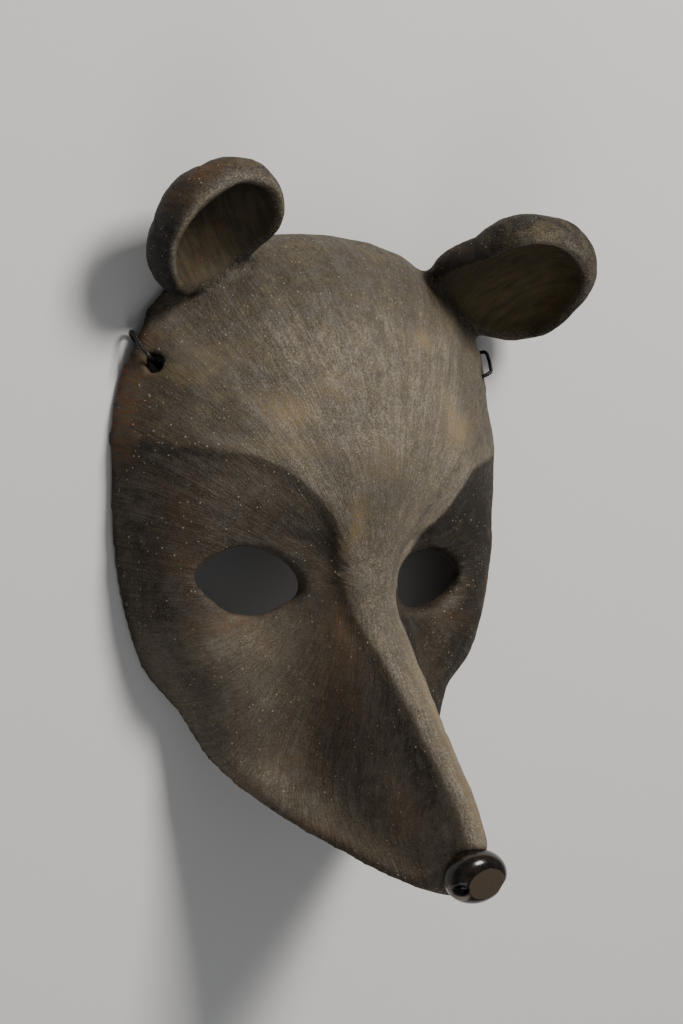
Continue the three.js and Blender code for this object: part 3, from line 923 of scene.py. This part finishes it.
# %% [markdown]
# ## Signs of the hand
# Pressed and smoothed clay is never quite even. Slow waves give the shallow undulations, quicker
# ones the knocks of a finger, and single dents, pimples and pinches are bells at chosen places.

# %% Unevenness, dents and pinches
MARKS = [  # x, y, reach, lift in mm
    (6, 71.5, 1.3, 0.45), (12.5, 70.5, 1.2, -0.5), (15.5, 69, 1.1, -0.4), (-22, 52, 3.0, -0.25),
    (34, 47, 3.2, 0.3), (-17, 59, 4.0, 0.25), (28, 58, 5.0, -0.25), (-45, 22, 3.5, 0.25),
    (-50, -22, 4.0, 0.3), (-30, -30, 5.0, -0.3), (40, -18, 4.0, 0.25), (-8, 84, 5.0, 0.25),
]
FOLDS = [(0.4, (1.2, 2.1, 3.3)), (2.0, (1.72, 0.6, 2.7))]  # each ear's phase and turns in radians
FOLD = dict(rim=0.16, half_width=0.09, depth=0.28, sway=0.12)
WAVES = [(0.15, 17, 3), (0.06, 7, 4), (0.03, 3.2, 5)]  # size and length in mm, and a seed
ON_FLOOR = 0.4  # points lower than this stay where they are

place = places(rounded)
normals = normals_of(rounded, quads)
outside = 1 - ease(1.5, 4.0, -place["over"])
lift = sum(size * waves(rounded, length, seed) for size, length, seed in WAVES)
lift *= 0.3 + 0.7 * ease(1, 7, place["from_edge"])
for x, y, reach, amount in MARKS:
    lift += amount * outside * bell(place["x"], place["y"], x, y, reach, reach)
for ear, weight, (phase, turns) in zip(place["ears"], on_ear, FOLDS):
    roll = weight * hump(ear["share"] - 1, FOLD["rim"])
    lift += roll * FOLD["sway"] * np.sin(5 * ear["turn"] + phase)
    for turn in turns:
        lift -= FOLD["depth"] * roll * hump(np.arccos(np.cos(ear["turn"] - turn)), FOLD["half_width"])
shaped = rounded + normals * (lift * (rounded[:, 2] > ON_FLOOR))[:, None]
shaped[:, 2] = np.maximum(shaped[:, 2], 0)
print("lift, mm:", round(float(lift.min()), 2), "to", round(float(lift.max()), 2))

# %% [markdown]
# ## Where the slip lies
# The pale slip covers the forehead and runs down the ridge in a strip that narrows to the nose.
# Its border is a line of chosen points on each side. The distance from that line is stored on
# the points, and the shader breaks it up with brush strokes.

# %% The pale area's border
BROW_LEFT = np.array([
    [75, 40], [64, 40], [53, 40], [46, 39], [39, 37.5], [32, 34.5], [26, 30.5], [20, 25.5],
    [15, 20], [11.5, 14.5], [10, 7.5], [9, 0], [8, -9.5], [6.3, -18.5], [5.5, -28], [4.7, -40],
    [4.2, -52], [3.8, -62], [4, -84],
])
BROW_RIGHT = np.array([
    [75, 39], [59, 38.5], [50, 37], [42, 34.5], [35.5, 28.5], [31, 22.5], [24, 16], [20, 10],
    [16, 4], [11.5, -1], [9, -6], [7.5, -18], [6.5, -28], [5.3, -40], [4.8, -52], [4.2, -62],
    [4, -84],
])
OVER_BROWS = 40.5  # all of the skin above this y is pale


def pale_distance(x, y):
    """Distance to the border in mm, above 0 within the pale area."""
    x = x - lean_at(y)
    side = np.abs(x)
    total = np.zeros_like(x)
    for line, chosen in ((BROW_LEFT, x < 0), (BROW_RIGHT, x >= 0)):
        away = line_distance(side[chosen], y[chosen], line)
        middle = np.interp(-y[chosen], -line[:, 1], line[:, 0])
        pale = (side[chosen] < middle) | (y[chosen] > OVER_BROWS)
        total[chosen] = np.where(pale, away, -away)
    return total


place = places(shaped)
normals = normals_of(shaped, quads)
pale = pale_distance(place["x"], place["y"])
print("pale share of the skin:", round(float((pale > 0).mean()), 2))

# %% How dark the slip and the wash are, with painted shade and highlights among them
# How far out the dark flanks of the snout reach: a list of y, and the distances there.
FLANK = [-84, -60, -46, -39, -31.5, -21, -10.5, -3, 4], [60, 42, 33, 28, 24.5, 22, 18.5, 14, 9]
# Patches: x, y, reach across, reach along and strength. CHEEKS and UNDER_RIDGE are mirrored.
CHEEKS = [(33, -18, 17, 12, -0.18), (28, -32, 10, 13, -0.2)]
# The last of BELOW_EYES and the first three SPOTS are a painted highlight along the far eye's lower lid.
BELOW_EYES = [(-44, -38, 12, 14, -0.12), (-42, -19, 8, 6, -0.1), (42, -6, 4, 2.5, -0.24)]
UNDER_RIDGE = [(20, -40, 3, 14, -0.14)]
SPOTS = [
    (45, -1, 2.5, 3, -0.26), (38, -7, 5, 4, -0.16), (34, -13, 3, 3, -0.1), (42, -18, 5, 4, 0.18),
    (49, 17, 6, 6, 0.12), (-9, -55, 2, 7, -0.2), (-31, -64, 10, 6, -0.08), (-44, 14, 14, 8, 0.12),
    (-36, 27, 20, 4, -0.1),
]
# Painted shade where each ear joins the head, in the same columns.
JOIN_SHADES = [(-31.5, 95.5, 2.2, 3, 1), (33, 88, 2, 3, 1)]


def patches(across, rows):
    """The sum of bells at the rows' places, where across is x, or its size for both sides."""
    return sum(strength * bell(across, y, *spot) for *spot, strength in rows)


x, y, from_edge = place["x"], place["y"], place["from_edge"]
side = np.abs(x)
flank = ease(-3.5, 3.5, through(y, *FLANK) - side)
near_side, far_side = ease(8, 0, x), ease(3, 12, x)
# Wash and slip are places on the tone's ramp, from 0 for the palest slip to 1 for the darkest wash.
dark = 0.60 + 0.26 * ease(42, 60, np.abs(x - 8) - 8) * ease(-22, -6, y)
dark += patches(side, CHEEKS) + patches(x, BELOW_EYES)
dark = dark * (1 - flank) + flank * (0.56 + 0.20 * bell(side, y, 16, -47, 6, 16))
dark -= 0.31 * bell(side, y, 31, -53, 12, 8) * (1 - ease(9, 13, from_edge))
dark += patches(side, UNDER_RIDGE) + patches(x, SPOTS)
# Darker on the face's far side, less a painted highlight just below that eye's lower lid.
dark += (0.40 - 0.24 * hump(eye_share(x, y) - 1.2, 0.14) * ease(-2, -8, y)) * far_side
# Painted shade in a thin line just outside the slip's border on the near side, under the brow and down the
# ridge, and more of it in the crease beside the bridge.
dark += 0.26 * hump(pale + 1.8, 1.6) * near_side * ease(-66, -52, y)
dark += 0.22 * hump(pale + 1.3, 1.1) * near_side * ease(-20, -8, y) * ease(22, 12, y)
# The slip is darker towards both sides and the top of the head; on the near side and the top this is partly
# painted shade where the face turns from the light.
light = 0.20 + 0.24 * ease(26, 50, -x) + 0.26 * ease(50, 64, -x) + 0.34 * ease(70, 94, y)
light += 0.14 * bell(x, y, -2, 26, 16, 10) + 0.20 * ease(30, 54, x) + 0.07 * ease(0, -20, y)
light -= 0.10 * hump(pale - 2.5, 2.5) * ease(60, 44, -x)
verge = 1 - ease(0.4, 4.5, from_edge)
join_shade = patches(x, JOIN_SHADES)
print("wash:", round(float(dark.min()), 2), "to", round(float(dark.max()), 2))

# %% The ears' rims and cups
# Bells round each ear's rim, by turn, reach and strength: where pale clay is bare from rubbing,
# partly as a painted highlight, where orange clay shows on the outside, and where the rim is
# darkened with painted shade.
RUBBED_AND_HIGHLIT = [
    [(60, 42, 1.0), (125, 34, 1.0), (320, 26, 0.45)],
    [(60, 45, 0.9), (120, 40, 1.0), (180, 30, 0.8), (5, 30, 0.55)],
]
ORANGE = [[(325, 24, 0.8), (205, 18, 0.35)], [(95, 22, 1.0), (60, 10, 0.5)]]
RIM_SHADES = [[(205, 34, 0.6), (20, 30, 0.5)], [(15, 52, 1.0), (330, 40, 0.6)]]
SMEAR = [[(278, 34, 0.8)], [(278, 34, 0.5)]]
MOUTH_EDGE = 0.9
APART = 40.0  # the two ears' streaks are read this far apart from the same noise

on_ear = [ear_weight(place, i) for i in range(2)]
ear_all = np.clip(sum(on_ear), 0, 1)
cup = np.full(count, -20.0)
rubbed_and_highlit, orange, smear, rim_shade, in_light = np.zeros((5, count))
ear_way = np.zeros((count, 3))
for index, ear in enumerate(place["ears"]):
    shape, weight, turn, share = EARS[index], on_ear[index], ear["turn"], ear["share"]
    facing = normals @ ear_axes(shape)[2]
    inward = (MOUTH_EDGE * bells(turn, shape["mouth"]) - share) * shape["wide"] / 2
    within = (weight > 0.02) & (facing > -0.25) & (ear["out"] < 0.6)
    cup = np.where(within, np.maximum(cup, inward), cup)
    on_rim = weight * hump(share - 1, 0.12) * ease(-0.3, 0.5, facing)
    rubbed_and_highlit += on_rim * np.clip(bells(turn, RUBBED_AND_HIGHLIT[index]) - 1, 0, 1)
    outside_rim = weight * hump(ear["out"] + 6, 4) * ease(0.98, 1.1, share)
    orange += outside_rim * np.clip(bells(turn, ORANGE[index]) - 1, 0, 1)
    smear += weight * ease(0.45, 0.85, share) * (bells(turn, SMEAR[index]) - 1)
    rim_shade += weight * ease(0.95, 1.1, share) * (bells(turn, RIM_SHADES[index]) - 1)
    if index == 0:
        in_light += weight * (0.55 + 0.8 * ease(-0.1, 0.6, share * np.cos(turn + 0.5)))
    else:
        in_light += weight * (0.2 - ease(-0.15, 0.45, share * np.sin(turn)))
    ear_way += weight[:, None] * np.stack([ear["a"], ear["b"], np.full(count, APART * index)], -1)
print("cup points:", int((cup > 0).sum()))

# %% Ochre and rust
OCHRE = [  # x, y, reach across, reach along, strength
    (33, 47, 7, 5, 1.0), (30, 54, 5, 7, 0.5), (-17, 59, 6, 4, 0.5), (-29, 51, 6, 5, 0.9),
    (20, 74, 4, 3, 0.8), (-46, 66, 9, 3, 0.3), (-54, 60, 8, 3, 0.3), (-9.5, 18, 2.5, 9, 0.9),
    (3, -34, 3, 16, 0.8), (-30, 40, 14, 3, 0.35), (2, -60, 2.5, 12, 0.5), (12, 20, 4, 6, 0.4),
    (-2, 36, 5, 5, 0.35),
]
RUST = [
    (-67, 58, 3.5, 7, 1.0), (-68, 46, 2.5, 8, 0.8), (-68.5, 37, 2.5, 4, 0.5), (-62, 70, 4, 3, 0.5),
    (-40, -12, 7, 3, 0.5), (-31, -18, 5, 4, 0.45), (-11.5, -14, 2.5, 10, 0.8),
    (-14, -30, 3, 12, 0.4), (-56, 6, 5, 5, 0.4), (66, 50, 3, 10, 0.6), (40, -12, 7, 3, 0.4),
    (58, -4, 3, 8, 0.6), (11, -16, 2.5, 10, 0.5), (-8, -62, 1.5, 6, 0.6), (-26, -52, 7, 6, 0.3),
    (-27, -70, 8, 3, 0.6), (-35, -61, 5, 4, 0.5), (-44, -12, 8, 2.5, 0.5), (-20, -78, 6, 3, 0.4),
    (-56, 20, 4, 8, 0.35),
]
ochre, rust = patches(x, OCHRE), patches(x, RUST)
print("ochre and rust points:", int((ochre > 0.3).sum()), int((rust > 0.3).sum()))

# %% Brush ways and the attributes
# Each brush way is a place across and a place along the strokes. The fan turns about a point
# just below the bridge, and the other way runs down the snout and out over its flanks.
level = np.zeros(count)
fan = np.stack([np.arctan2(x, y + 2) * 42, np.hypot(x, y + 2), level], -1)
run_out = np.sign(x) * side * (1 + 0.9 * ease(4, 20, side)) * 50 / (12 + np.abs(np.minimum(y, 0)))
down = np.stack([run_out, y - 0.25 * place["z"], level], -1)
SHARES = dict(rubbed_and_highlit=rubbed_and_highlit, orange=orange, smear=smear, rim_shade=rim_shade, ochre=ochre, rust=rust, unlit=-in_light)
FIELDS = dict(
    pale=pale, dark=dark, light=light, verge=verge, join_shade=join_shade, ear=ear_all, cup=cup,
    feather=ease(-5, 4, y) * ease(24, 16, y) * ease(0, 2, -x),
    soft=ease(40, 58, -x) + 0.12 * ease(4, 14, x),
    on_snout=ease(0, -8, y - 0.12 * side) * (1 - 0.85 * ease(24, 34, side - 0.25 * np.abs(y))),
    in_light=np.clip(in_light, 0, 1.5),
    inside=ease(1.8, 4.0, -place["over"]) * (1 - ear_all),
    **{name: np.clip(values, 0, 1) for name, values in SHARES.items()},
)
mesh = mesh_from("fired_shell", shaped, quads)
store(mesh, fan=fan, down=down, ear_way=ear_way, **FIELDS)
mask = add_object("fired_shell", mesh)
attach(mask, "root")
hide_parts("mask")
print("shell triangles:", len(quads) * 2)

# %% [markdown]
# ## The clay's finish
# Gritty fired clay shows through a thin slip that was brushed on in streaks. The strokes run out
# from the bridge over the forehead and cheeks and down the snout, so two brush coordinates are
# stored on the points and the noise is stretched along them. The tone then picks its colour
# from one ramp, and grit, specks and strokes also raise the surface.

# %% Strokes and grit
clay = Finish("brushed_clay")
at = clay.place()
on = {name: clay.attribute(name) for name in FIELDS}


def strokes(width, length, seed):
    """Noise stretched along the two brush ways, width across and length along in mm. On the
    snout the way down it takes the fan's place."""
    factors, offset = (1 / width, 1 / length, 1.0), (seed, seed * 1.7, seed * 0.3)
    ways = [clay.scaled(clay.attribute(way, "Vector"), factors, offset) for way in ("fan", "down")]
    fan, down = (clay.noise(way, 1.0, 2.0, 0.6, 0.5) for way in ways)
    return fan + (down - fan) * on["on_snout"] - 0.5


broad = strokes(2.4, 30.0, 3.0)
narrow = strokes(0.8, 15.0, 11.0)
hair = strokes(0.36, 3.2, 23.0)
mottle = clay.noise(at, 0.09, 4.0, 0.6, 0.4)
cloud = clay.noise(at, 0.33, 3.0, 0.6)
grit = clay.noise(at, 1.5, 3.0, 0.75)
sand = clay.noise(at, 3.2, 1.0, 0.5)
brushed = broad * 0.8 + narrow * 0.9 + hair * 1.4
grain = clay.swing(grit, 0.13, 0.34, 0.5) + clay.swing(sand, 0.14, 0.26, 0.5)
crisp = clay.swing(broad, 0.2, 0.09) + clay.swing(narrow, 0.15, 0.12) + clay.swing(hair, 0.15, 0.15)
print("noises mixed with", len(on), "fields")

# %% The tone of slip and wash
SLIP = [  # share of the ramp, and the paint there
    (0.0, 146, 134, 116), (0.22, 106, 97, 83), (0.45, 86, 78, 65),
    (0.68, 71, 62, 50), (0.85, 56, 48, 37), (1.0, 34, 29, 20),
]
feather, soft = on["feather"], on["soft"]
tips = broad * (0.7 + feather * 7.0) + narrow * (0.8 + feather * 2.2) + hair * (1.26 + feather * 0.8)
edge_of_slip = on["pale"] + tips + (cloud - 0.5) * (1.0 + soft * 8.0)
in_slip = clay.ease(edge_of_slip, -0.45 - soft * 4.0, 0.5 + soft * 4.0)
# The edge is darker, and painted shade darkens the head where the ears join it.
tone = on["dark"] + (on["light"] - on["dark"]) * in_slip + on["verge"] * 0.5 + on["join_shade"] * 0.5
tone = tone + (mottle - 0.5) * 0.36 + (cloud - 0.5) * 0.24 + crisp * (1.0 - in_slip * 0.25)
# Ears: lighter where bare from rubbing and painted as lit, darker where painted shade lies on the rim.
ear_tone = 0.98 - on["rubbed_and_highlit"] * 0.8 - on["smear"] * 0.3 + on["rim_shade"] * 0.4
ear_tone = ear_tone + (cloud - 0.5) * 0.3 + (mottle - 0.5) * 0.2
ear = clay.ease(on["ear"] + grain * 1.2, 0.2, 0.8)
tone = tone + (ear_tone - tone) * ear + grain * (0.55 + ear * 0.75)
slip_colour = clay.ramp(tone, SLIP)
print("tones on the ramp:", len(SLIP))

# %% Tints, cups and specks
hue = clay.noise(at, 0.16, 3.0, 0.6, 0.5) + broad * 0.35
patchy = clay.ease(cloud * 0.5 + grit * 1.0 + hair * 0.9, 0.6, 0.86)
skin_colour = clay.coats(slip_colour, [
    (clay.ease(hue, 0.5, 0.68) * (0.08 + in_slip * 0.12), 126, 110, 72),
    (clay.ease(hue, 0.5, 0.34) * (0.08 + in_slip * 0.08), 102, 102, 102),
    # Near-black painted shade on the ears' rims.
    (on["rim_shade"] * ear * 0.75, 16, 14, 11),
    (on["ochre"] * patchy * 0.6, 160, 134, 90),
    (on["rust"] * patchy * 0.7, 112, 74, 40),
    (on["orange"] * patchy * 0.6, 104, 68, 34),
])
ear_place = clay.scaled(clay.attribute("ear_way", "Vector"), (0.6, 0.1, 1.0))
ear_streak = clay.noise(ear_place, 1.0, 3.0, 0.6, 0.2)
cup_colour = clay.coats(paint(44, 37, 25), [
    (clay.ease(ear_streak + (grit - 0.5) * 0.3, 0.3, 0.72), 68, 58, 38),
    (clay.ease(mottle + ear_streak * 0.3, 0.62, 0.8) * 0.5, 66, 38, 20),
    (on["smear"] * clay.ease(cloud + grit * 0.4, 0.55, 0.9) * 0.7, 72, 66, 58),
    (on["in_light"] * ear_streak * 0.7, 112, 97, 60),
    (on["unlit"] * 0.8, 30, 25, 17),
])
in_cup = clay.ease(on["cup"] + grain * 2.4, -0.35, 0.35)
skin_colour = clay.blend(in_cup * ear, skin_colour, cup_colour)
print("tints laid on")

# %% Specks
cell = {"Vector": at, "Scale": 1.05}
from_middle = clay.node("ShaderNodeTexVoronoi", cell)
chance = clay.node("ShaderNodeSeparateColor", {"Color": clay.node("ShaderNodeTexVoronoi", cell, "Color")})
needed = clay.ease(mottle + cloud * 0.6, 0.62, 1.0, 0.97, 0.72) - on["ochre"] * 0.22
needed = needed + (1 - in_slip) * (1 - ear) * 0.03
size = clay.ease(chance, 0.9, 1.0, 0.0, 0.1) * (1 - ear * 0.6)
speck = clay.ease(from_middle - size, 0.26, 0.14) * clay.ease(chance - needed, 0.0, 0.03) * (1 - in_cup * 0.8)
speck_colour = clay.coats(paint(176, 165, 142), [(clay.ease(grit, 0.5, 0.6), 150, 122, 78)])
skin_colour = clay.blend(speck * 0.7, skin_colour, speck_colour)
print("clay nodes so far:", len(clay.tree.nodes))

# %% The bare inside, and the shader
bare = clay.coats(paint(92, 77, 60), [
    (clay.ease(mottle + cloud * 0.5, 0.6, 0.95), 70, 57, 43),
    (clay.ease(grit, 0.62, 0.75), 46, 37, 28),
])
relief = brushed * 0.5 * (1 - ear) + grit * 0.4 + sand * 0.35 + cloud * 0.5 + speck * 0.5
relief = relief + ear_streak * 0.5 * in_cup
clay.shade(
    Base_Color=clay.blend(on["inside"], skin_colour, bare),
    Roughness=clay.ease(grit + cloud, 0.7, 1.3, 0.58, 0.85),
    Specular_IOR_Level=0.35,
    Normal=clay.bump(relief, 0.9, 0.0004),
)
mask.data.materials.append(clay.material)
print("clay nodes:", len(clay.tree.nodes))

# %% [markdown]
# ## The nose
# The knob is a small ball of clay with a flat front, two nostrils poked in with a tool and a
# thick dark glaze. On a disc at the front the glaze is matte with wear, and its grey there is a
# painted reflection. It is one grid of fine rings, with the flat, the nostrils and their raised lips
# added as bells.

# %% The nose knob
NOSTRILS = np.array([[-7.6, -2.4, 3.9], [8.8, -2.4, 2.6]])
FRONT = 4.7
knob = knob_rings(0.0)


def from_nostril(at):
    """Distance to the nearer nostril's middle, with height counted a little more."""
    away = (at[..., None, :] - NOSTRILS) * [0.87, 1.12, 0.87]
    return np.linalg.norm(away, axis=-1).min(-1)


def below_nostril(at):
    """1 on the lower and outer side of the first nostril, and 0 on the other half of the knob."""
    x, y = at[..., 0], at[..., 1]
    return ease(1.5, -1.0, y - NOSTRILS[0, 1] + 0.5 * (x - NOSTRILS[0, 0])) * ease(0, -2, x)


def nose_shape(at):
    """The knob with its front cut flat, and each nostril sunk inside a raised lip."""
    x, y, z = np.moveaxis(at, -1, 0)
    z = np.where(z > FRONT, FRONT + (z - FRONT) * 0.12, z)
    radial = at / np.maximum(np.linalg.norm(at, axis=-1, keepdims=True), 1e-9)
    away = from_nostril(at)
    sunk = 2.6 * hump(away, 2.0, 4) - 0.45 * below_nostril(at) * hump(away - 2.75, 0.55)
    return np.stack([x, y, z], -1) - radial * sunk[..., None]


mesh = knob_mesh("glazed_nose", nose_shape(knob))
local = np.concatenate([knob[0, :1], knob[1:-1].reshape(-1, 3), knob[-1, :1]])
x, y, z = local.T
disc = np.hypot((x - 0.7) / 6.3, (y + 0.2) / 4.8) + 5 * (z < 2)
store(mesh, disc=disc, well=from_nostril(local), low=below_nostril(local))
nose = add_object("glazed_nose", mesh)
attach(nose, "root")
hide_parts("nose")
print("nose triangles:", len(mesh.polygons))

# %% Glaze
glaze = Finish("dark_glaze")
at = glaze.place()
pool = glaze.noise(at, 0.35, 3.0, 0.5)
fine = glaze.noise(at, 2.2, 3.0, 0.65)
well = glaze.attribute("well")
# The front disc: glaze matte with wear, coloured grey as a painted reflection.
worn_reflecting_disc = glaze.ease(glaze.attribute("disc") + (pool - 0.5) * 0.2, 1.0, 0.94) * glaze.ease(well, 2.2, 2.6)
# A painted highlight on the raised lip below the first nostril.
lip_highlight = glaze.ease(well, 2.1, 2.5) * glaze.ease(well + (fine - 0.5) * 0.6, 3.5, 3.1) * glaze.attribute("low")
colour = glaze.coats(paint(16, 13, 10), [(glaze.ease(pool, 0.35, 0.75), 44, 34, 25)])
colour = glaze.blend(worn_reflecting_disc, colour, glaze.coats(paint(64, 55, 44), [(fine, 86, 75, 61)]))
# Pale paint on that lip as its highlight, and near-black paint in the nostrils' hollows as shade.
colour = glaze.coats(colour, [(lip_highlight * 0.85, 140, 128, 117), (glaze.ease(well, 2.2, 1.8), 3, 2, 2)])
glaze.shade(
    Base_Color=colour,
    Roughness=0.2 + worn_reflecting_disc * 0.38 + lip_highlight * 0.15,
    Coat_Weight=0.35 - worn_reflecting_disc * 0.33,
    Coat_Roughness=0.08,
    Specular_IOR_Level=0.25,
    Normal=glaze.bump(fine * 0.5 + pool, 0.35, 0.0002),
)
nose.data.materials.append(glaze.material)
print("glaze nodes:", len(glaze.tree.nodes))

# %% [markdown]
# ## The floor and the light
# The mask lies on a plain pale floor. A soft panel above the head and to its left side models
# the face, a wide weak one from beyond the snout opens its flanks, and a pale world fills the
# rest. One strong sun would give the same direction, but its shadows would be hard.

# %% Floor, panel and world
FLOOR_HALF = 9000.0
x, y = np.meshgrid([-FLOOR_HALF, FLOOR_HALF], [-FLOOR_HALF, FLOOR_HALF])
ground = np.stack([x, y, np.zeros_like(x)], -1).reshape(-1, 3)
floor = add_object("floor", mesh_from("floor", ground, [[0, 1, 3, 2]]))
paper = Finish("pale_floor")
soft = paper.noise(paper.place(), 0.004, 2.0)
paper.shade(Base_Color=paper.blend(soft, paint(228, 226, 222), paint(234, 232, 228)), Roughness=0.85)
floor.data.materials.append(paper.material)


def panel(name, at, towards, size, power, colour):
    """A square area light at a face point in mm, turned so that its -Z looks at another."""
    light = add_object(name, bpy.data.lights.new(name, "AREA"))
    light.data.size, light.data.energy, light.data.color = size, power, colour
    behind = unit(np.subtract(at, towards))
    across = unit(np.cross([0.0, 1.0, 0.0], behind))
    place_by_axes(light, across, np.cross(behind, across), behind, at)


panel("key_panel", at=(360, 830, 1010), towards=(0, 10, 20), size=0.4, power=18.0, colour=(1.0, 0.98, 0.95))
panel("low_panel", at=(-300, -1100, 900), towards=(0, -30, 40), size=0.9, power=3.5, colour=(0.96, 0.98, 1.0))
world = bpy.data.worlds.new("studio")
bpy.context.scene.world = world
world.use_nodes = True
sky = world.node_tree.nodes["Background"].inputs
sky["Color"].default_value, sky["Strength"].default_value = (0.9, 0.93, 1.0, 1.0), 0.16
print("stage ready")
